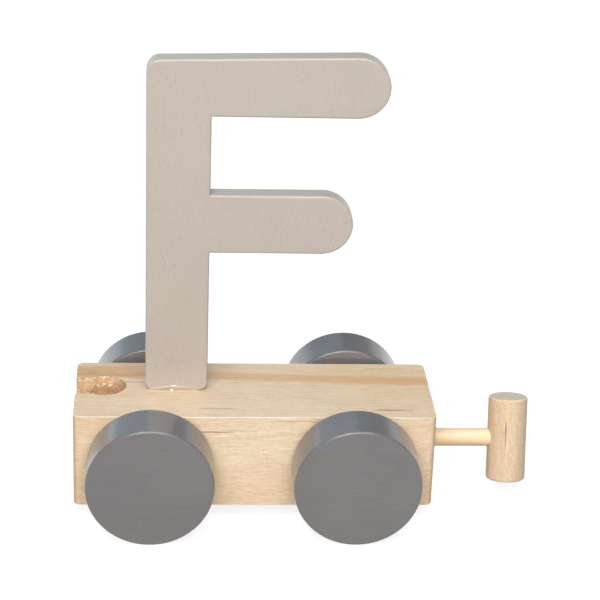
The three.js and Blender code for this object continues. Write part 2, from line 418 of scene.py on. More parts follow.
class NodeBoard:
    """The nodes of one new material or world, with a short method for each kind that is used."""

    def __init__(self, owner: Material | World) -> None:
        """Opens the board. Its patterns read the piece's own coordinates, or the world's directions.

        Args:
            owner: The material or world that the nodes belong to.
        """
        owner.use_nodes = True
        self.tree = owner.node_tree
        coordinates = self.make("TexCoord", {}).outputs
        self.place = coordinates["Generated" if isinstance(owner, World) else "Object"]

    def feed(self, node: Node, levels: Mapping[int | str, Level]) -> None:
        """Links a node's inputs to sockets, or sets their values.

        Args:
            node: The node.
            levels: What each input gets, by its number or name.
        """
        for key, level in levels.items():
            if isinstance(level, NodeSocket):
                self.tree.links.new(level, node.inputs[key])
            else:
                node.inputs[key].default_value = level

    def make(self, kind: str, levels: Mapping[int | str, Level], **settings: str) -> Node:
        """Adds a node.

        Args:
            kind: The node's kind, without the prefix that all kinds share.
            levels: What its inputs get, by their numbers or names.
            settings: The node's own settings.

        Returns:
            The new node.
        """
        node = self.tree.nodes.new(f"ShaderNode{kind}")
        for name, setting in settings.items():
            setattr(node, name, setting)
        self.feed(node, levels)
        return node

    def surface(self, levels: Mapping[int | str, Level]) -> None:
        """Feeds the material's own shader."""
        self.feed(self.tree.nodes["Principled BSDF"], levels)

    def turned(self, turn: Triple) -> NodeSocket:
        """The piece's own coordinates, turned."""
        return self.make("Mapping", {"Vector": self.place, "Rotation": turn}).outputs[0]

    def noise(self, pattern: Pattern) -> NodeSocket:
        """Lays out noise on the piece's own coordinates.

        Args:
            pattern: The noise's sizes. It is turned, then scaled, then shifted.

        Returns:
            A level from 0 to 1.
        """
        sizes = {"Vector": self.turned(pattern.turn), "Scale": pattern.scale, "Location": pattern.shift}
        place = self.make("Mapping", sizes).outputs[0]
        cloud = {"Vector": place, "Scale": 1, "Detail": pattern.detail, "Roughness": pattern.roughness}
        return self.make("TexNoise", cloud).outputs["Fac"]

    def sift(self, value: NodeSocket, span: Span, start: float = 0, end: float = 1) -> NodeSocket:
        """Eases from start to end as a value crosses a span."""
        levels = {"Value": value, "From Min": span[0], "From Max": span[1], "To Min": start, "To Max": end}
        return self.make("MapRange", levels, interpolation_type="SMOOTHSTEP").outputs["Result"]

    def math(self, operation: str, *terms: Level) -> NodeSocket:
        """Reckons with numbers, by the operation's name."""
        return self.make("Math", dict(enumerate(terms)), operation=operation).outputs[0]

    def vector(self, operation: str, *terms: Level) -> NodeSocket:
        """Reckons with vectors, by the operation's name."""
        node = self.make("VectorMath", dict(enumerate(terms)), operation=operation)
        return node.outputs["Value" if operation in ("LENGTH", "DOT_PRODUCT") else "Vector"]

    def mix(self, factor: Level, first: Level, second: Level, way: str = "MIX") -> NodeSocket:
        """Blends two colours."""
        levels = {0: factor, MIX_FIRST: first, MIX_SECOND: second}
        return self.make("Mix", levels, data_type="RGBA", blend_type=way).outputs[MIX_RESULT]

    def shade(self, base: Level, value: NodeSocket, dark: Triple, light: Triple) -> NodeSocket:
        """Scales a colour from a dark tint to a light one as a value goes from 0 to 1."""
        return self.mix(1.0, base, self.mix(value, (*dark, 1), (*light, 1)), "MULTIPLY")

    def tint(self, base: Level, value: NodeSocket, tint: Tint) -> NodeSocket:
        """Tints a colour by a value."""
        return self.shade(base, self.sift(value, tint.span), tint.dark, tint.light)

    def mottle(self, base: Level, value: NodeSocket, depth: float) -> NodeSocket:
        """Makes a colour a little darker and lighter by a value."""
        return self.tint(base, value, Tint(MIDDLE, grey(1 - depth), grey(1 + depth)))

    def mark(self, base: Level, value: NodeSocket, mark: Mark) -> NodeSocket:
        """Marks a colour with another where a value is within its span."""
        return self.mix(self.sift(value, mark.span, 0, mark.share), base, colour(mark.tone))

    def ramp(self, value: NodeSocket, stops: Sequence[Span]) -> NodeSocket:
        """Lays out levels of grey along a value.

        Args:
            value: The value, from 0 to 1.
            stops: The place and level of each grey, in order.

        Returns:
            The grey.
        """
        node = self.make("ValToRGB", {"Fac": value})
        elements = node.color_ramp.elements
        for place, level in stops[1:-1]:
            elements.new(place).color = (*grey(level), 1)
        for element, (place, level) in ((elements[0], stops[0]), (elements[-1], stops[-1])):
            element.position = place
            element.color = (*grey(level), 1)
        return node.outputs["Color"]

    def bump(self, height: NodeSocket, depth: float, strength: float) -> None:
        """Gives the shader a bumped normal, from a height of 0 to 1 and a depth in metres."""
        node = self.make("Bump", {"Height": height, "Distance": depth, "Strength": strength})
        self.surface({"Normal": node.outputs["Normal"]})

    def seen_rays(self) -> NodeSocket:
        """Adds the test for rays that show the background.

        Returns:
            A level that is 1 on camera, glossy and transmission rays.
        """
        path = self.make("LightPath", {}).outputs
        mirrored = self.math("MAXIMUM", path["Is Camera Ray"], path["Is Glossy Ray"])
        return self.math("MAXIMUM", mirrored, path["Is Transmission Ray"])

    def show(self, output: str, share: NodeSocket, plain: Node, seen: Node) -> None:
        """Makes the mix of two shaders, by the second one's share, the one that is shown."""
        choice = self.make("MixShader", {0: share, 1: plain.outputs[0], 2: seen.outputs[0]})
        self.feed(self.tree.nodes[output], {"Surface": choice.outputs[0]})


class Finish(ABC):
    """A surface that a piece is dressed in."""

    def material(self, name: str) -> Material:
        """Makes the finish.

        Args:
            name: The new material's name.

        Returns:
            The material.
        """
        made = bpy.data.materials.new(name)
        self.lay(NodeBoard(made))
        return made

    @abstractmethod
    def lay(self, board: NodeBoard) -> None:
        """Lays the finish out on an empty board of nodes."""


@dataclass(frozen=True)
class Tone:
    """How dark the rings are at a distance in mm from the pith: 0 is early wood and 1 is late wood."""

    radius: float
    darkness: float


@dataclass(frozen=True)
class Fleck:
    """A mark in the wood: its middle and half its size each way, in mm, its strength and its colour."""

    middle: Triple
    reach: Triple
    strength: float
    tone: int = 0x9C6636


@dataclass(frozen=True)
class StainAndShade:
    """A tint laid along a direction, from where it starts to where it is full, in mm: some are the wood's own
    colour, some painted shade and painted light.
    """

    way: Triple
    start: float
    full: float
    tint: Triple


@dataclass(frozen=True)
class PineFinish(Finish):
    """Sanded pine, with growth rings round a pith line that lies behind and below the block."""

    early: int = 0xF1D8BA
    late: int = 0xDDAB77
    straw: int = 0xEACEAE
    # The pale colour of the rounded edges, a painted highlight
    edge: int = 0xFFF3E2
    pith: Triple = (0, 33 * MM, -11 * MM)
    pith_turn: Triple = (0, 0, math.radians(3))
    wave: Pattern = Pattern((22, 70, 70), detail=2)
    wave_height: float = 0.7 * MM
    cloud: Pattern = Pattern((60, 160, 160))
    straw_span: Span = (0.4, 0.7)
    straw_share: float = 0.5
    fibres: Pattern = Pattern((330, 5200, 5200), roughness=0.65)
    fibre_tint: Tint = Tint((0.22, 0.78), (0.86, 0.8, 0.72), (1.1, 1.12, 1.14))
    fibre_depth: float = 0.02 * MM
    fibre_relief: float = 0.3
    streaks: Pattern = Pattern((110, 3600, 3600), detail=4, roughness=0.6)
    streak_tint: Tint = Tint((0.28, 0.72), (0.955, 0.935, 0.91), (1.04, 1.05, 1.06))
    specks: Pattern = Pattern((1700, 3300, 3300), detail=2)
    speck_tint: Tint = Tint(MIDDLE, (0.95, 0.94, 0.93), (1.04, 1.05, 1.05))
    hairs: Pattern = Pattern((150, 3600, 3600), detail=1, shift=(3, 5, 7))
    hair: Mark = Mark((0.64, 0.78), 0x9C6636, 0.28)
    fleck_fray: float = 1.4
    fleck_span: Span = (1.9, 0.9)
    roughness: Span = (0.62, 0.5)
    coat: float = 0.5
    coat_roughness: float = 0.28
    coat_ior: float = 1.5
    stains_and_shade: tuple[StainAndShade, ...] = (
        # Darker and warmer towards the left end of the block
        StainAndShade((1, 0, 0), -28, -42, (0.96, 0.92, 0.88)),
        # Darker and warmer over the right part of the block
        StainAndShade((1, 0, 0), 2, 20, (0.97, 0.94, 0.91)),
        # Warmer and a little darker towards the bottom of the block
        StainAndShade((0, 0, 1), 15, 5, (1.0, 0.96, 0.92)),
        # Painted shade: the deck's top a little darker than the front faces, as the light from above falls
        # weaker
        StainAndShade((0, 0, 1), 21.3, 21.48, (0.94, 0.915, 0.9)),
        # Painted cool light: bluer towards the front, over the deck's front part and the front face
        StainAndShade((0, 1, 0), -3, -10, (1.0, 1.015, 1.045)),
    )
    tones: tuple[Tone, ...] = (
        Tone(22, 0.1), Tone(27.2, 0.5), Tone(28.4, 0.8), Tone(28.8, 0.05), Tone(33, 0.15),
        Tone(35.6, 0.6), Tone(36.7, 0.9), Tone(37.1, 0.08), Tone(39.4, 0.12), Tone(40.2, 0.3),
        Tone(41.1, 0.22), Tone(41.5, 0.35), Tone(41.9, 0.62), Tone(42.3, 0.8), Tone(42.7, 0.7),
        Tone(43, 0.85), Tone(43.3, 0.68), Tone(43.6, 0.75), Tone(43.95, 0.36), Tone(44.3, 0.12),
        Tone(46.5, 0.1), Tone(48.6, 0.12), Tone(50.5, 0.08), Tone(52, 0.0), Tone(52.9, 0.05),
        Tone(53.3, 0.25), Tone(53.5, 0.05), Tone(55.5, 0.1), Tone(58, 0.2),
    )
    flecks: tuple[Fleck, ...] = (
        Fleck((-17.2, -11.7, 18.4), (3.4, 2, 0.2), 0.8),
        Fleck((-12, -11.7, 18.7), (4, 2, 0.14), 0.3),
        Fleck((-2, -11.7, 20.7), (5, 2, 0.15), 0.5),
        Fleck((-36, 9.7, 21.5), (5, 0.2, 2), 0.35),
        Fleck((-42, 9.1, 21.5), (17, 1.5, 2), 0.26),
        Fleck((-42, 6, 21.5), (17, 1.8, 2), 0.28),
        Fleck((-33, 3.1, 21.5), (5, 0.35, 2), 0.5),
        Fleck((16, 9.6, 21.5), (4, 0.25, 2), 0.35),
        Fleck((-14.5, 3.1, 21.5), (3.5, 0.2, 2), 0.3),
        Fleck((-16, -8.1, 21.5), (5, 0.35, 2), 0.5),
        Fleck((15.8, -8.5, 21.5), (4.5, 0.4, 2), 0.75),
        # A yellowish, slightly darker patch on the front face, right of the near left wheel
        Fleck((-17.4, -11.7, 9.3), (2.6, 2, 4), 0.75, 0xE6CE98),
    )

    def highlit_edge(self) -> PineFinish:
        """The same wood on a rounded edge, painted pale as a painted highlight, under a glossier coat."""
        pale = replace(self, early=self.edge, late=self.early, straw=self.edge, stains_and_shade=())
        return replace(pale, coat=1.0, coat_roughness=0.15, coat_ior=2.0)

    def rings(self, board: NodeBoard) -> NodeSocket:
        """Lays out the growth rings.

        Args:
            board: The board of nodes.

        Returns:
            How dark they are, from 0 to 1.
        """
        spoke = board.vector("SUBTRACT", board.turned(self.pith_turn), self.pith)
        distance = board.vector("LENGTH", board.vector("MULTIPLY", spoke, (0, 1, 1)))
        radius = board.math("MULTIPLY_ADD", board.noise(self.wave), self.wave_height, distance)
        first, last = self.tones[0].radius, self.tones[-1].radius
        crest = self.wave_height / 2
        ends = {"From Min": first * MM + crest, "From Max": last * MM + crest}
        share = board.make("MapRange", {"Value": radius, **ends}).outputs["Result"]
        stops = [((tone.radius - first) / (last - first), tone.darkness) for tone in self.tones]
        return board.ramp(share, stops)

    def wood(self, board: NodeBoard, fibres: NodeSocket) -> NodeSocket:
        """Lays out the wood's colour, without its flecks.

        Args:
            board: The board of nodes.
            fibres: The noise of the fibres.

        Returns:
            The colour.
        """
        rings = self.rings(board)
        wood = board.mix(rings, colour(self.early), colour(self.late))
        clouded = board.sift(board.noise(self.cloud), self.straw_span, 0, self.straw_share)
        wood = board.mix(clouded, wood, board.mix(rings, colour(self.straw), wood))
        wood = board.tint(wood, fibres, self.fibre_tint)
        wood = board.tint(wood, board.noise(self.streaks), self.streak_tint)
        wood = board.tint(wood, board.noise(self.specks), self.speck_tint)
        wood = board.mark(wood, board.noise(self.hairs), self.hair)
        # Lays on the wood's stains and the painted shade and painted light
        for stain_and_shade in self.stains_and_shade:
            along = board.vector("DOT_PRODUCT", board.place, stain_and_shade.way)
            wood = board.tint(wood, along, Tint((stain_and_shade.start * MM, stain_and_shade.full * MM), grey(1), stain_and_shade.tint))
        return wood

    def lay(self, board: NodeBoard) -> None:
        """Lays out the planed wood with its flecks and its thin clear coat.

        Args:
            board: The board of nodes.
        """
        fibres = board.noise(self.fibres)
        wood = self.wood(board, fibres)
        for fleck in self.flecks:
            away = board.vector("SUBTRACT", board.place, metres(fleck.middle))
            spread = board.vector("LENGTH", board.vector("DIVIDE", away, metres(fleck.reach)))
            ragged = board.math("MULTIPLY_ADD", fibres, self.fleck_fray, spread)
            wood = board.mark(wood, ragged, Mark(self.fleck_span, fleck.tone, fleck.strength))
        board.surface({"Base Color": wood, "Roughness": board.sift(fibres, MOST, *self.roughness)})
        board.surface({"Coat Weight": self.coat, "Coat Roughness": self.coat_roughness})
        board.surface({"Coat IOR": self.coat_ior})
        board.bump(fibres, self.fibre_depth, self.fibre_relief)


@dataclass(frozen=True)
class PineEndFinish(PineFinish):
    """The pine's sawn ends, where the fibres show end on."""

    end_grain: int = 0xEABB88
    end_share: float = 0.45
    end_roughness: float = 0.78
    pits: Pattern = Pattern((300, 3200, 3200), roughness=0.7)
    pit_tint: Tint = Tint(MIDDLE, grey(0.9), grey(1.06))
    pit_depth: float = 0.08 * MM
    pit_relief: float = 0.5

    def lay(self, board: NodeBoard) -> None:
        """Lays out the sawn wood.

        Args:
            board: The board of nodes.
        """
        wood = self.wood(board, board.noise(self.fibres))
        wood = board.mix(self.end_share, wood, colour(self.end_grain))
        pits = board.noise(self.pits)
        wood = board.tint(wood, pits, self.pit_tint)
        board.surface({"Base Color": wood, "Roughness": self.end_roughness})
        board.bump(pits, self.pit_depth, self.pit_relief)


@dataclass(frozen=True)
class BoredFinish(Finish):
    """The raw wall of a drilled hole, with drill marks and pale torn fibres, painted brightest on the wall
    that faces the reader as a painted highlight.
    """

    wall: int = 0xDEB48A
    cloud: Pattern = Pattern((350, 350, 250), roughness=0.65)
    burn: Mark = Mark((0.35, 0.7), 0xBB8E61)
    tufts: Pattern = Pattern((2300, 2300, 3600), detail=2, roughness=0.6)
    tuft_span: Span = (0.5, 0.64)
    tuft_depth: float = 0.06 * MM
    tuft_relief: float = 0.6
    rows: Pattern = Pattern((110, 110, 760), detail=1)
    row_span: Span = (0.36, 0.58)
    torn: int = 0xFFEFD6
    # How the torn fibres come up as the wall turns to face the reader, a painted highlight; other walls get
    # the share torn_elsewhere
    front_lit_span: Span = (0.8, 0.98)
    torn_elsewhere: float = 0.35
    pit: Mark = Mark((0.44, 0.28), 0xBB8E61, 0.6)
    roughness: float = 0.85

    def lay(self, board: NodeBoard) -> None:
        """Lays out the raw wood.

        Args:
            board: The board of nodes.
        """
        wood = board.mark(colour(self.wall), board.noise(self.cloud), self.burn)
        tufts = board.noise(self.tufts)
        rows = board.sift(board.noise(self.rows), self.row_span)
        # Painted highlight: the torn fibres show at full strength only where the wall faces the reader and
        # the front lamps
        normal = board.make("NewGeometry", {}).outputs["Normal"]
        front_lit = board.vector("DOT_PRODUCT", normal, TOWARDS_READER)
        frayed_and_lit = board.math("MULTIPLY", board.sift(tufts, self.tuft_span), rows)
        frayed_and_lit = board.math("MULTIPLY", frayed_and_lit, board.sift(front_lit, self.front_lit_span, self.torn_elsewhere))
        wood = board.mix(frayed_and_lit, wood, colour(self.torn))
        wood = board.mark(wood, tufts, self.pit)
        board.surface({"Base Color": wood, "Roughness": self.roughness})
        board.bump(tufts, self.tuft_depth, self.tuft_relief)


@dataclass(frozen=True)
class PaintFinish(Finish):
    """Satin paint over wood, thin enough that the wood's pores can show."""

    paint: int
    grain: Grain
    roughness: float
    mottle: float
    cloud: Pattern = Pattern((60, 60, 60))
    specks: Pattern = Pattern((2600, 2600, 2600), detail=2)
    brush: GrainPattern = GrainPattern(120, 2200)
    brush_height: float = 0.2
    glossier: float = 0.04
    duller: float = 0.05
    pores: GrainPattern = GrainPattern(520, 4200, detail=2)
    pore_span: Span = (0.57, 0.72)
    pore_shadow: int = 0x7C6E60
    pore_darkness: float = 0.0
    pore_depth: float = 0.035 * MM
    pore_relief: float = 0.35
    patches: Pattern = Pattern((90, 90, 60), detail=2, shift=(2, 4, 1))
    patch_span: Span = (0.35, 0.65)
    fewest_pores: float = 0.35
    gloss: float = 0.5
    coat: float = 0.5
    coat_roughness: float = 0.2

    def lay(self, board: NodeBoard) -> None:
        """Lays out the paint.

        Args:
            board: The board of nodes.
        """
        brush = board.noise(self.brush.on(self.grain))
        patches = board.sift(board.noise(self.patches), self.patch_span, self.fewest_pores)
        pores = board.sift(board.noise(self.pores.on(self.grain)), self.pore_span)
        pores = board.math("MULTIPLY", pores, patches)
        paint = board.mottle(colour(self.paint), board.noise(self.cloud), self.mottle)
        paint = board.mottle(paint, brush, self.mottle / 2)
        paint = board.mottle(paint, board.noise(self.specks), self.mottle)
        paint = board.mix(board.math("MULTIPLY", pores, self.pore_darkness), paint, colour(self.pore_shadow))
        sheen = board.sift(brush, MOST, self.roughness - self.glossier, self.roughness + self.duller)
        board.surface({"Base Color": paint, "Roughness": sheen, "Specular IOR Level": self.gloss})
        board.surface({"Coat Weight": self.coat, "Coat Roughness": self.coat_roughness})
        strokes = board.math("MULTIPLY", brush, self.brush_height)
        relief = board.math("MULTIPLY_ADD", pores, -self.pore_darkness, strokes)
        board.bump(relief, self.pore_depth, self.pore_relief)


@dataclass(frozen=True)
class DowelFinish(Finish):
    """Plain turned dowel, with fibres along it."""

    wood: int
    streak: int
    grain: Grain
    turn: Triple = (0, 0, 0)
    roughness: float = 0.6
    streaks: GrainPattern = GrainPattern(60, 800)
    streak_span: Span = (0.35, 0.7)
    streak_share: float = 0.5
    fibres: GrainPattern = GrainPattern(160, 2800, detail=4, roughness=0.6)
    fibre_tint: Tint = Tint((0.25, 0.75), grey(0.91), grey(1.05))
    fibre_depth: float = 0.035 * MM
    fibre_relief: float = 0.4
    specks: Pattern = Pattern((2200, 2200, 2200), detail=2, roughness=0.6)
    mottle: float = 0.02
    flecks: GrainPattern = GrainPattern(300, 1500, detail=2, shift=(4, 2, 9))
    fleck: int = 0x9A6B3C
    fleck_span: Span = (0.64, 0.76)
    fleck_share: float = 0.3

    def lay(self, board: NodeBoard) -> None:
        """Lays out the dowel's wood.

        Args:
            board: The board of nodes.
        """
        streaks, fibres, flecks = (
            board.noise(pattern.on(self.grain, self.turn))
            for pattern in (self.streaks, self.fibres, self.flecks)
        )
        wood = board.mark(colour(self.wood), streaks, Mark(self.streak_span, self.streak, self.streak_share))
        wood = board.tint(wood, fibres, self.fibre_tint)
        wood = board.mottle(wood, board.noise(self.specks), self.mottle)
        wood = board.mark(wood, flecks, Mark(self.fleck_span, self.fleck, self.fleck_share))
        board.surface({"Base Color": wood, "Roughness": self.roughness})
        board.bump(fibres, self.fibre_depth, self.fibre_relief)


@dataclass(frozen=True)
class SawnEndFinish(Finish):
    """The greyish sawn end of a dowel, where the fibres show end on."""

    wood: int = 0xD2C0AE
    pores: Pattern = Pattern((3600, 3600, 3600), detail=2, roughness=0.6)
    pore: Mark = Mark((0.52, 0.7), 0xA8937C, 0.25)
    pore_depth: float = 0.01 * MM
    pore_relief: float = 0.3
    rays: Pattern = Pattern((500, 1500, 900))
    ray_tint: Tint = Tint(MIDDLE, grey(0.96), grey(1.03))
    roughness: float = 0.8

    def lay(self, board: NodeBoard) -> None:
        """Lays out the end grain.

        Args:
            board: The board of nodes.
        """
        pores = board.noise(self.pores)
        wood = board.mark(colour(self.wood), pores, self.pore)
        wood = board.tint(wood, board.noise(self.rays), self.ray_tint)
        board.surface({"Base Color": wood, "Roughness": self.roughness})
        board.bump(pores, self.pore_depth, self.pore_relief)


@dataclass(frozen=True)
class GlueFinish(Finish):
    """Dried clear wood glue."""

    glue: int = 0xE6D6BE
    # Near-white colour of the beads, a painted glint
    bead: int = 0xFBF2E0
    body: float = 0.4
    roughness: float = 0.08
    cloud: Pattern = Pattern((500, 500, 500), detail=2)
    dark: Triple = grey(0.9)
    light: Triple = grey(1.08)

    def glinting(self) -> GlueFinish:
        """The same glue in its beads, opaque and near white: real beads with a painted glint."""
        return replace(self, glue=self.bead, body=1.0)

    def lay(self, board: NodeBoard) -> None:
        """Lays out the glue.

        Args:
            board: The board of nodes.
        """
        glue = board.shade(colour(self.glue), board.noise(self.cloud), self.dark, self.light)
        board.surface({"Base Color": glue, "Roughness": self.roughness, "Alpha": self.body})
        board.surface({"Specular IOR Level": 1.0, "Coat Weight": 1.0})


@dataclass(frozen=True)
class FloorFinish(Finish):
    """A plain white studio floor, seen as white where the light falls freely."""

    paper: float = 0.24
    seen_paper: float = 0.36
    glow: float = 0.8

    def lay(self, board: NodeBoard) -> None:
        """Lays out the floor's paper.

        Args:
            board: The board of nodes.
        """
        plain = board.make("BsdfDiffuse", {"Color": (*grey(self.paper), 1)})
        paper = board.make("BsdfDiffuse", {"Color": (*grey(self.seen_paper), 1)})
        light = board.make("Emission", {"Strength": self.glow})
        bright = board.make("AddShader", {0: paper.outputs[0], 1: light.outputs[0]})
        board.show("Material Output", board.seen_rays(), plain, bright)


# The car's sub-assemblies


@dataclass
class BodyBlock:
    """The pine block with its keyhole socket and its bores."""

    low: Vector
    high: Vector
    front_axle: Vector
    rear_axle: Vector
    shaft_seat: Vector
    pin_seat: Vector
    corner_radius: float = 1.3 * MM
    corner_steps: int = 8
    edge_radius: float = 0.42 * MM
    edge_steps: int = 5
    line_y: float = 1.5 * MM
    socket_setback: float = 5.6 * MM
    socket_radius: float = 4.05 * MM
    socket_steps: int = 48
    socket_rim: float = 0.14 * MM
    rim_steps: int = 2
    mouth_width: float = 6.9 * MM
    lip_radius: float = 0.45 * MM
    lip_steps: int = 4
    lip_share: float = 0.8
    axle_bore: float = 2.3 * MM
    shaft_bore: float = SHAFT_BORE
    pin_bore: float = PIN_BORE

    @property
    def socket(self) -> Vector:
        """The socket's axis, at the underside."""
        return Vector((self.low.x + self.socket_setback, self.line_y, self.low.z))

    def outline(self) -> BMesh:
        """Draws the block's plan at the underside, with the keyhole at its rear end.

        Returns:
            A bmesh with the plan as one face.
        """
        rear, front = self.low.x, self.high.x
        near, far = self.low.y, self.high.y
        corner, lip = self.corner_radius, self.lip_radius
        mouth_near = self.line_y - self.mouth_width / 2
        mouth_far = self.line_y + self.mouth_width / 2
        opening = math.asin(self.mouth_width / 2 / self.socket_radius)
        throat = self.socket.x - self.socket_radius * math.cos(opening)

        def at(x: float, y: float) -> Vector:
            """A point of the underside."""
            return Vector((x, y, self.low.z))

        pen = Pen(at(rear + corner, near))
        pen.bend(at(front - corner, near), at(front - corner, near + corner), UP, self.corner_steps)
        pen.bend(at(front, far - corner), at(front - corner, far - corner), UP, self.corner_steps)
        pen.bend(at(rear + corner, far), at(rear + corner, far - corner), UP, self.corner_steps)
        pen.bend(at(rear, mouth_far + lip), at(rear + lip, mouth_far + lip), UP, self.lip_steps)
        pen.bend(at(throat, mouth_far), self.socket, -UP, self.socket_steps, FULL_TURN - 2 * opening)
        pen.bend(at(rear + lip, mouth_near), at(rear + lip, mouth_near - lip), UP, self.lip_steps)
        pen.bend(at(rear, near + corner), at(rear + corner, near + corner), UP, self.corner_steps)
        return pen.close()

    def in_socket(self, place: Vector) -> bool:
        """Tells whether a place is on the socket's wall or in its mouth.

        Args:
            place: The place.

        Returns:
            Whether it is.
        """
        away = place - self.socket
        in_hole = away.xy.length < self.socket_radius + 2 * self.socket_rim
        in_mouth = away.x < 0 and abs(away.y) < self.mouth_width / 2 + 2 * self.socket_rim
        past_lip = place.x > self.low.x + self.lip_share * self.lip_radius
        return past_lip and (in_hole or in_mouth)

    def rims(self, mesh: BMesh, socket: bool) -> list[BMEdge]:
        """Finds the edges round the top and the underside.

        Args:
            mesh: The block's bmesh.
            socket: Whether the socket's edges are wanted, or the rest.

        Returns:
            The edges.
        """
        found = []
        for edge in mesh.edges:
            first, last = (vertex.co for vertex in edge.verts)
            level = min(abs(z - co.z) for z in (self.low.z, self.high.z) for co in (first, last)) < WELD
            flat = abs(first.z - last.z) < WELD
            wanted = self.in_socket((first + last) / 2) == socket
            if level and flat and wanted and len(edge.link_faces) == 2:
                if abs(edge.link_faces[0].normal.z - edge.link_faces[1].normal.z) > MOSTLY:
                    found.append(edge)
        return found

    def build(self, wood: PineFinish, sawn: PineEndFinish, raw: BoredFinish) -> None:
        """Builds and dresses the block.

        Args:
            wood: The finish of its planed faces.
            sawn: The finish of its ends.
            raw: The finish of its holes.
        """
        mesh = self.outline()
        thicken(mesh, UP * (self.high.z - self.low.z))
        # The rounded edges take the pale edge finish, a painted highlight
        for face in ease(mesh, self.rims(mesh, socket=False), self.edge_radius, self.edge_steps):
            face.material_index = BlockFace.HIGHLIT_EDGE
        for face in mesh.faces:
            if self.in_socket(face.calc_center_median()) and abs(face.normal.z) < NEARLY:
                face.material_index = BlockFace.BORED
            elif abs(face.normal.x) > MOSTLY and face.material_index == BlockFace.PLANED:
                face.material_index = BlockFace.SAWN_END
        # The socket's rims take the same painted highlight
        for face in ease(mesh, self.rims(mesh, socket=True), self.socket_rim, self.rim_steps):
            face.material_index = BlockFace.HIGHLIT_EDGE
        materials = {
            BlockFace.PLANED: wood.material("pine"),
            BlockFace.SAWN_END: sawn.material("pine_end"),
            BlockFace.BORED: raw.material("bored_wood"),
            BlockFace.HIGHLIT_EDGE: wood.highlit_edge().material("pine_edge"),
        }
        block = new_object(mesh, "pine_block", [materials[kind] for kind in BlockFace])
        cut_away(block, self.bores(materials[BlockFace.BORED]))
        seat(block, Body.CAR, "body_block")

    def bores(self, raw: Material) -> Object:
        """Makes the cutters of the axle bores, the shaft's seat and the pin's seat.

        Args:
            raw: The material of the cut walls.

        Returns:
            One object that holds the four cutters.
        """
        mesh = bmesh.new()
        width = self.high.y - self.low.y + 2 * OVERSHOOT
        for axle in (self.front_axle, self.rear_axle):
            start = Vector((axle.x, self.low.y - OVERSHOOT, axle.z))
            add_drill(mesh, self.axle_bore, start, TOWARDS_BACK, width)
        depth = self.high.x - self.shaft_seat.x + OVERSHOOT
        add_drill(mesh, self.shaft_bore, self.shaft_seat, TOWARDS_COUPLER, depth)
        add_drill(mesh, self.pin_bore, self.pin_seat, UP, self.high.z - self.pin_seat.z + OVERSHOOT)
        return new_object(mesh, "bores", [raw])


@dataclass(frozen=True)
class Bead:
    """A small bead of dried glue: its middle, and half its size each way, in mm."""

    middle: Triple
    reach: Triple


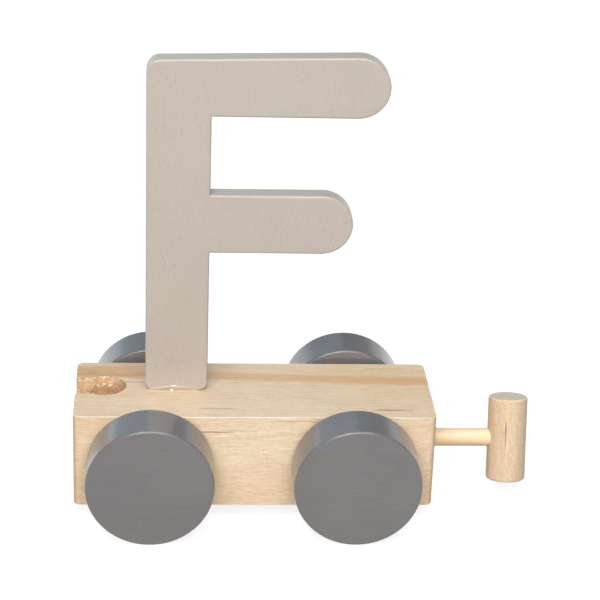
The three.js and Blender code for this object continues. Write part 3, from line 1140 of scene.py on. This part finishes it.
@dataclass
class Letter:
    """The painted letter board and the glue at its foot."""

    low: Vector
    high: Vector
    stem_width: float = 11.8 * MM
    middle_reach: float = 38.3 * MM
    arm_depth: float = 11.5 * MM
    arm_gap: float = 15 * MM
    arm_steps: int = 36
    head_drop: float = 0.8 * MM
    head_corner: float = 2.5 * MM
    head_steps: int = 10
    foot_corner: float = 1.3 * MM
    foot_steps: int = 8
    edge_radius: float = 0.42 * MM
    edge_steps: int = 5
    pin_bore: float = PIN_BORE
    pin_seat: float = 6.1 * MM
    film_middle: float = -25.2 * MM
    film_half_width: float = 4.9 * MM
    film_columns: int = 28
    film_rows: int = 10
    film_rise: float = 0.18 * MM
    film_peak: float = 0.78 * MM
    film_arch_power: float = 1.3
    film_thickness: float = 0.13 * MM
    film_swell_power: float = 2.5
    film_side_share: float = 0.1
    film_tuck: float = 0.02 * MM
    ripple_height: float = 0.05 * MM
    ripple_count: float = 3
    ripple_shift: float = 7
    bead_detail: int = 3
    bead_lumps: float = 1.7
    bead_lump_height: float = 0.15
    # Beads placed where the glue shows glints; their near-white colour is a painted glint
    beads: tuple[Bead, ...] = (
        Bead((-25.1, -0.58, 22.55), (0.55, 0.12, 0.13)),
        Bead((-25.5, -0.66, 21.66), (0.34, 0.26, 0.24)),
    )

    def outline(self) -> BMesh:
        """Draws the letter, seen from the side that it is read from.

        Returns:
            A bmesh with the letter's front as one face.
        """
        left, foot = self.low.x, self.low.z
        inside = left + self.stem_width
        round_end = self.arm_depth / 2
        top_low = self.high.z - self.arm_depth
        middle_low = top_low - self.arm_gap - self.arm_depth
        head = self.high.z - self.head_drop
        toe, brow = self.foot_corner, self.head_corner
        about = TOWARDS_READER

        def at(x: float, z: float) -> Vector:
            """A point of the front face."""
            return Vector((x, self.low.y, z))

        def arm(low: float, end: float) -> None:
            """Draws an arm's lower edge and its round end."""
            pen.line(at(inside, low))
            pen.bend(at(end, low), at(end, low + round_end), about, self.arm_steps, HALF_TURN)

        pen = Pen(at(left, foot + toe))
        pen.arc(at(left + toe, foot + toe), about, self.foot_steps)
        pen.bend(at(inside - toe, foot), at(inside - toe, foot + toe), about, self.foot_steps)
        arm(middle_low, left + self.middle_reach - round_end)
        pen.line(at(inside, middle_low + self.arm_depth))
        arm(top_low, self.high.x - round_end)
        pen.bend(at(left + brow, head), at(left + brow, head - brow), about, self.head_steps)
        return pen.close()

    def build(self, paint: PaintFinish, raw: BoredFinish, glue: GlueFinish) -> None:
        """Builds and dresses the letter and its glue.

        Args:
            paint: The letter's paint.
            raw: The finish of the hole in its foot.
            glue: The finish of the glue.
        """
        mesh = self.outline()
        thicken(mesh, TOWARDS_BACK * (self.high.y - self.low.y))
        flats = [face for face in mesh.faces if abs(face.normal.y) > NEARLY]
        ease(mesh, {edge for face in flats for edge in face.edges}, self.edge_radius, self.edge_steps)
        board = new_object(mesh, "letter_board", [paint.material("letter_paint")])
        drill = bmesh.new()
        foot = Vector((self.low.x + self.stem_width / 2, (self.low.y + self.high.y) / 2, self.low.z))
        add_drill(drill, self.pin_bore, foot + UP * self.pin_seat, -UP, self.pin_seat + OVERSHOOT)
        cut_away(board, new_object(drill, "pin_hole", [raw.material("pin_hole_wood")]))
        seat(board, Body.CAR, "letter")
        self.build_film(glue)
        self.build_beads(glue.glinting())

    def build_film(self, glue: GlueFinish) -> None:
        """Builds the film of glue that crept up the letter's face at its foot.

        Args:
            glue: The finish of the glue.
        """
        mesh = bmesh.new()
        bmesh.ops.create_grid(mesh, x_segments=self.film_columns, y_segments=self.film_rows, size=1)
        for vertex in mesh.verts:
            side, climb = vertex.co.x, (vertex.co.y + 1) / 2
            slope = math.cos(side * QUARTER_TURN)
            place = Vector((side * self.ripple_count, 0, self.ripple_shift))
            ripple = self.ripple_height * noise.noise(place)
            reach = self.film_rise + self.film_peak * slope**self.film_arch_power + ripple
            share = self.film_side_share + (1 - self.film_side_share) * slope
            swell = self.film_thickness * math.sin(math.pi * climb**self.film_swell_power) * share
            vertex.co.x = self.film_middle + side * self.film_half_width
            vertex.co.y = self.low.y - (swell - self.film_tuck)
            vertex.co.z = self.low.z + climb * reach
        bmesh.ops.solidify(mesh, geom=mesh.faces[:], thickness=self.film_thickness)
        bmesh.ops.recalc_face_normals(mesh, faces=mesh.faces[:])
        seat(new_object(mesh, "glue_film", [glue.material("clear_glue")]), Body.CAR)

    def build_beads(self, glue: GlueFinish) -> None:
        """Builds the beads of glue on the film and on the deck.

        Args:
            glue: The finish of the glue.
        """
        drops = bmesh.new()
        for bead in self.beads:
            made = bmesh.ops.create_icosphere(drops, subdivisions=self.bead_detail, radius=1)["verts"]
            for vertex in made:
                vertex.co *= 1 + self.bead_lump_height * noise.noise(vertex.co * self.bead_lumps)
            bmesh.ops.scale(drops, verts=made, vec=metres(bead.reach))
            bmesh.ops.translate(drops, verts=made, vec=metres(bead.middle))
        seat(new_object(drops, "glue_beads", [glue.material("glinting_glue")]), Body.CAR)


@dataclass
class Coupler:
    """The thin shaft at the front end and the peg across its tip."""

    shaft_low: Vector
    shaft_high: Vector
    peg_middle: Vector
    shaft_edge: float = 0.3 * MM
    shaft_sides: int = 64
    shaft_bore: float = SHAFT_BORE
    peg_radius: float = 3.8 * MM
    peg_length: float = 16.5 * MM
    peg_edge: float = 0.4 * MM
    peg_sides: int = 72
    peg_twist: float = math.radians(13)
    edge_steps: int = 4
    crack_place: float = -0.83 * MM
    crack_low: float = -3.2 * MM
    crack_heart: float = 2.9 * MM
    crack_high: float = 4.6 * MM
    crack_width: float = 0.15 * MM
    crack_depth: float = 1.0 * MM

    @property
    def peg_frame(self) -> Matrix:
        """The peg's place and twist."""
        return Matrix.Translation(self.peg_middle) @ Matrix.Rotation(-self.peg_twist, 4, "X")

    def build(self, pale: DowelFinish, peg: DowelFinish, sawn: SawnEndFinish, raw: BoredFinish) -> None:
        """Builds and dresses the shaft and the peg.

        Args:
            pale: The shaft's wood.
            peg: The peg's wood.
            sawn: The finish of the peg's ends.
            raw: The finish of the peg's hole and crack.
        """
        radius = (self.shaft_high.z - self.shaft_low.z) / 2
        length = self.shaft_high.x - self.shaft_low.x
        mesh = turned(radius, length, self.shaft_edge, self.edge_steps, self.shaft_sides)
        axis = (self.shaft_low + self.shaft_high) / 2
        start = Matrix.Translation((self.shaft_low.x, axis.y, axis.z))
        bmesh.ops.transform(mesh, matrix=start @ Matrix.Rotation(QUARTER_TURN, 4, "Y"), verts=mesh.verts[:])
        shaft = new_object(mesh, "shaft_dowel", [pale.material("pale_dowel")])
        seat(shaft, Body.CAR, "coupler_shaft")
        self.build_peg(peg, sawn, raw)

    def build_peg(self, wood: DowelFinish, sawn: SawnEndFinish, raw: BoredFinish) -> None:
        """Builds the peg, with its cross hole and the crack along its front.

        Args:
            wood: The peg's wood.
            sawn: The finish of its ends.
            raw: The finish of its hole and crack.
        """
        mesh = turned(self.peg_radius, self.peg_length, self.peg_edge, self.edge_steps, self.peg_sides)
        for face in mesh.faces:
            face.material_index = PegFace.SAWN_END if abs(face.normal.z) > NEARLY else PegFace.ROUND
        centred = self.peg_frame @ Matrix.Translation((0, 0, -self.peg_length / 2))
        bmesh.ops.transform(mesh, matrix=centred, verts=mesh.verts[:])
        materials = {PegFace.ROUND: wood.material("peg_wood"), PegFace.SAWN_END: sawn.material("peg_end")}
        peg = new_object(mesh, "peg_dowel", [materials[kind] for kind in PegFace])
        bored = raw.material("peg_hole_wood")
        drill = bmesh.new()
        outside = self.peg_middle - TOWARDS_COUPLER * (self.peg_radius + OVERSHOOT)
        add_drill(drill, self.shaft_bore, outside, TOWARDS_COUPLER, self.shaft_high.x + END_GAP - outside.x)
        cut_away(peg, new_object(drill, "peg_hole", [bored]))
        cut_away(peg, self.crack(bored))
        seat(peg, Body.CAR, "coupler_peg")

    def crack(self, raw: Material) -> Object:
        """Makes the thin blade that cuts the drying crack into the peg's front.

        Args:
            raw: The material of the cut walls.

        Returns:
            The cutter.
        """
        front = -self.peg_radius - OVERSHOOT
        half = self.crack_width / 2
        pen = Pen(Vector((self.crack_place, front, self.crack_low)))
        pen.line(Vector((self.crack_place + half, front, self.crack_heart)))
        pen.line(Vector((self.crack_place, front, self.crack_high)))
        pen.line(Vector((self.crack_place - half, front, self.crack_heart)))
        mesh = pen.close()
        thicken(mesh, TOWARDS_BACK * (OVERSHOOT + self.crack_depth))
        bmesh.ops.transform(mesh, matrix=self.peg_frame, verts=mesh.verts[:])
        return new_object(mesh, "crack", [raw])


@dataclass
class Wheelset:
    """One axle and its two wheels."""

    body: Body
    axle: Object
    edge_radius: float = 0.5 * MM
    edge_steps: int = 6
    axle_seat: BlindHole = BlindHole(2.1 * MM, 6.1 * MM)
    sides: int = 120

    @property
    def end(self) -> str:
        """The end of the car that it carries."""
        return self.body.name.lower()

    def build(self, paint: PaintFinish, pale: DowelFinish) -> None:
        """Builds the wheels and dresses them and the axle.

        Args:
            paint: The wheels' paint.
            pale: The axle's wood.
        """
        dress_solid(self.axle, pale.material(f"{self.end}_axle_dowel"))
        for side in Side:
            self.build_wheel(side, paint)

    def build_wheel(self, side: Side, paint: PaintFinish) -> None:
        """Turns one wheel, with a blind hole for the axle in its inner face.

        Args:
            side: The wheel's side of the car.
            paint: Its paint.
        """
        name = f"{self.end}_{side.name.lower()}"
        low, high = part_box(f"{name}_wheel")
        radius = (high.z - low.z) / 2
        width = high.y - low.y
        mesh = turned(radius, width, self.edge_radius, self.edge_steps, self.sides, self.axle_seat)
        middle = (low + high) / 2
        inner = Vector((middle.x, low.y if side is Side.LEFT else high.y, middle.z))
        place = Matrix.Translation(inner) @ Matrix.Rotation(-side * QUARTER_TURN, 4, "X")
        bmesh.ops.transform(mesh, matrix=place, verts=mesh.verts[:])
        wheel = new_object(mesh, f"{name}_disc", [paint.material(f"{name}_wheel_paint")])
        seat(wheel, self.body, f"{name}_wheel")


# The studio


@dataclass(frozen=True)
class Softbox:
    """A soft lamp: its place, its width and depth, its strength and tint, and whether gloss mirrors it."""

    name: str
    place: Triple
    size: Span
    watts: float
    tint: Triple
    mirrored: bool = True

    def hang(self, target: Vector) -> None:
        """Hangs the lamp.

        Args:
            target: The point that it faces.
        """
        lamp = bpy.data.lights.new(self.name, "AREA")
        lamp.shape = "RECTANGLE"
        lamp.size, lamp.size_y = self.size
        lamp.energy = self.watts
        lamp.color = self.tint
        hung = bpy.data.objects.new(self.name, lamp)
        hung.visible_glossy = self.mirrored
        hung.location = self.place
        hung.rotation_euler = (target - hung.location).to_track_quat("-Z", "Y").to_euler()
        bpy.context.scene.collection.objects.link(hung)


@dataclass
class Studio:
    """The camera, the lamps, the white floor and the light all round, with a pale wall past the floor.

    The wall fades out between two heights, each the sine of an angle above the horizon.
    """

    eye: Triple = (-26.92 * MM, -347.67 * MM, 192.44 * MM)
    pitch: float = math.radians(23.576)
    yaw: float = math.radians(4.167)
    roll: float = math.radians(2.105)
    focal_pixels: float = 2022.58
    image_pixels: float = 600
    sensor_width: float = 36
    nearest: float = 0.01
    furthest: float = 20
    aim: float = 20 * MM
    floor_size: float = 4.0
    ambient: Triple = (0.74, 0.88, 1.0)
    ambient_strength: float = 0.14
    wall_strength: float = 0.75
    wall_fade: Span = (0.22, 0.13)
    softboxes: tuple[Softbox, ...] = (
        Softbox("key", (-0.22, -0.62, 0.55), (0.4, 0.4), 1.85, (1.0, 0.965, 0.935)),
        Softbox("front", (0.0, -0.85, 0.42), (0.5, 0.5), 4.5, (1.0, 0.965, 0.935)),
        Softbox("overhead", (-0.03, -0.26, 0.47), (0.5, 0.12), 1.64, (0.8, 0.93, 1.0)),
        Softbox("back_overhead", (0.02, 0.2, 0.7), (0.6, 0.6), 0.8, (0.74, 0.91, 1.0)),
        Softbox("left", (-0.75, -0.1, 0.35), (0.5, 0.5), 0.3, (0.9, 0.97, 1.0)),
        Softbox("back_left", (-0.45, 1.0, 0.45), (1.1, 1.1), 1.4, (0.55, 0.82, 1.0)),
        Softbox("back_fill_left", (-0.6, 0.8, 0.14), (0.5, 0.5), 2.6, (1.0, 0.98, 0.95), mirrored=False),
        Softbox("back_fill_right", (0.6, 0.8, 0.14), (0.5, 0.5), 2.6, (1.0, 0.98, 0.95), mirrored=False),
    )

    def build(self, middle: Vector) -> None:
        """Sets up the camera, the lamps, the floor and the world.

        Args:
            middle: The middle of the block, which the lamps face a little above.
        """
        scene = bpy.context.scene
        scene.view_settings.view_transform = "Standard"
        self.set_camera(scene)
        for softbox in self.softboxes:
            softbox.hang(middle + UP * self.aim)
        self.lay_floor()
        self.light_room(scene)
        LOG.info("studio: %d lamps", len(self.softboxes))

    def set_camera(self, scene: Scene) -> None:
        """Sets the camera at the photograph's viewing angle.

        Args:
            scene: The scene that gets the camera.
        """
        level = math.cos(self.pitch)
        ahead = Vector((math.sin(self.yaw) * level, math.cos(self.yaw) * level, -math.sin(self.pitch)))
        right = Vector((math.cos(self.yaw), -math.sin(self.yaw), 0))
        above = right.cross(ahead)
        across = right * math.cos(self.roll) + above * math.sin(self.roll)
        upright = above * math.cos(self.roll) - right * math.sin(self.roll)
        data = bpy.data.cameras.new("camera")
        data.sensor_width = self.sensor_width
        data.lens = self.focal_pixels / self.image_pixels * self.sensor_width
        data.clip_start = self.nearest
        data.clip_end = self.furthest
        camera = bpy.data.objects.new("camera", data)
        turn = Matrix((across, upright, -ahead)).transposed().to_4x4()
        camera.matrix_world = Matrix.Translation(self.eye) @ turn
        scene.collection.objects.link(camera)
        scene.camera = camera

    def lay_floor(self) -> None:
        """Lays the white floor that the car stands on."""
        mesh = bmesh.new()
        bmesh.ops.create_grid(mesh, x_segments=1, y_segments=1, size=self.floor_size / 2)
        new_object(mesh, "studio_floor", [FloorFinish().material("studio_floor")])

    def light_room(self, scene: Scene) -> None:
        """Lights the room evenly and dimly, with a pale wall past the floor where the background shows.

        Args:
            scene: The scene that gets the world.
        """
        scene.world = bpy.data.worlds.new("studio")
        board = NodeBoard(scene.world)
        room = board.tree.nodes["Background"]
        board.feed(room, {"Color": (*self.ambient, 1), "Strength": self.ambient_strength})
        wall = board.make("Background", {"Color": (*grey(1), 1), "Strength": self.wall_strength})
        height = board.vector("DOT_PRODUCT", board.place, UP)
        low = board.math("MULTIPLY", board.seen_rays(), board.sift(height, self.wall_fade))
        board.show("World Output", low, room, wall)


def centre(node: str) -> Vector:
    """The middle of a solid's box."""
    low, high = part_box(node)
    return (low + high) / 2


def main() -> None:
    """Builds the car's look around its solids, and the studio around the car."""
    logging.basicConfig(level=logging.INFO, format="%(name)s: %(message)s")
    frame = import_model()

    coupler = Coupler(*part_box("coupler_shaft"), centre("coupler_peg"))
    raw = BoredFinish()
    letter_paint = PaintFinish(
        0xBAACA0, Grain.ALONG_Z, roughness=0.42, mottle=0.022, pore_darkness=0.32, coat=0.4
    )
    wheel_paint = PaintFinish(
        0x736E6D, Grain.ALONG_X, roughness=0.32, mottle=0.055, pore_depth=0.004 * MM, gloss=0.2, coat=0.8,
        coat_roughness=0.16,
    )
    shaft_wood = DowelFinish(0xF8D9B4, 0xEFC994, Grain.ALONG_X, roughness=0.5, fleck_share=0.12)
    axle_wood = DowelFinish(0xF3E2B8, 0xE6CB9A, Grain.ALONG_Y)
    pin_wood = replace(axle_wood, grain=Grain.ALONG_Z)
    peg_wood = DowelFinish(
        0xE5C9A9, 0xDCB487, Grain.ALONG_Z, turn=(coupler.peg_twist, 0, 0), roughness=0.62, mottle=0.075,
        fibres=replace(DowelFinish.fibres, along=480), fleck_share=0.15,
    )

    shaft_seat = Vector((coupler.shaft_low.x - END_GAP, *centre("coupler_shaft").yz))
    pin_seat = Vector((*centre("letter_pin").xy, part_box("letter_pin")[0].z - END_GAP))
    axles = (centre("front_axle"), centre("rear_axle"))
    BodyBlock(*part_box("body_block"), *axles, shaft_seat, pin_seat).build(PineFinish(), PineEndFinish(), raw)
    Letter(*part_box("letter")).build(letter_paint, raw, GlueFinish())
    dress_solid(frame["nodes"]["letter_pin"], pin_wood.material("letter_pin_dowel"))
    coupler.build(shaft_wood, peg_wood, SawnEndFinish(), raw)
    for body, axle in ((Body.FRONT, "front_axle"), (Body.REAR, "rear_axle")):
        Wheelset(body, frame["nodes"][axle]).build(wheel_paint, axle_wood)

    Studio().build(centre("body_block"))


if __name__ == "__main__":
    main()
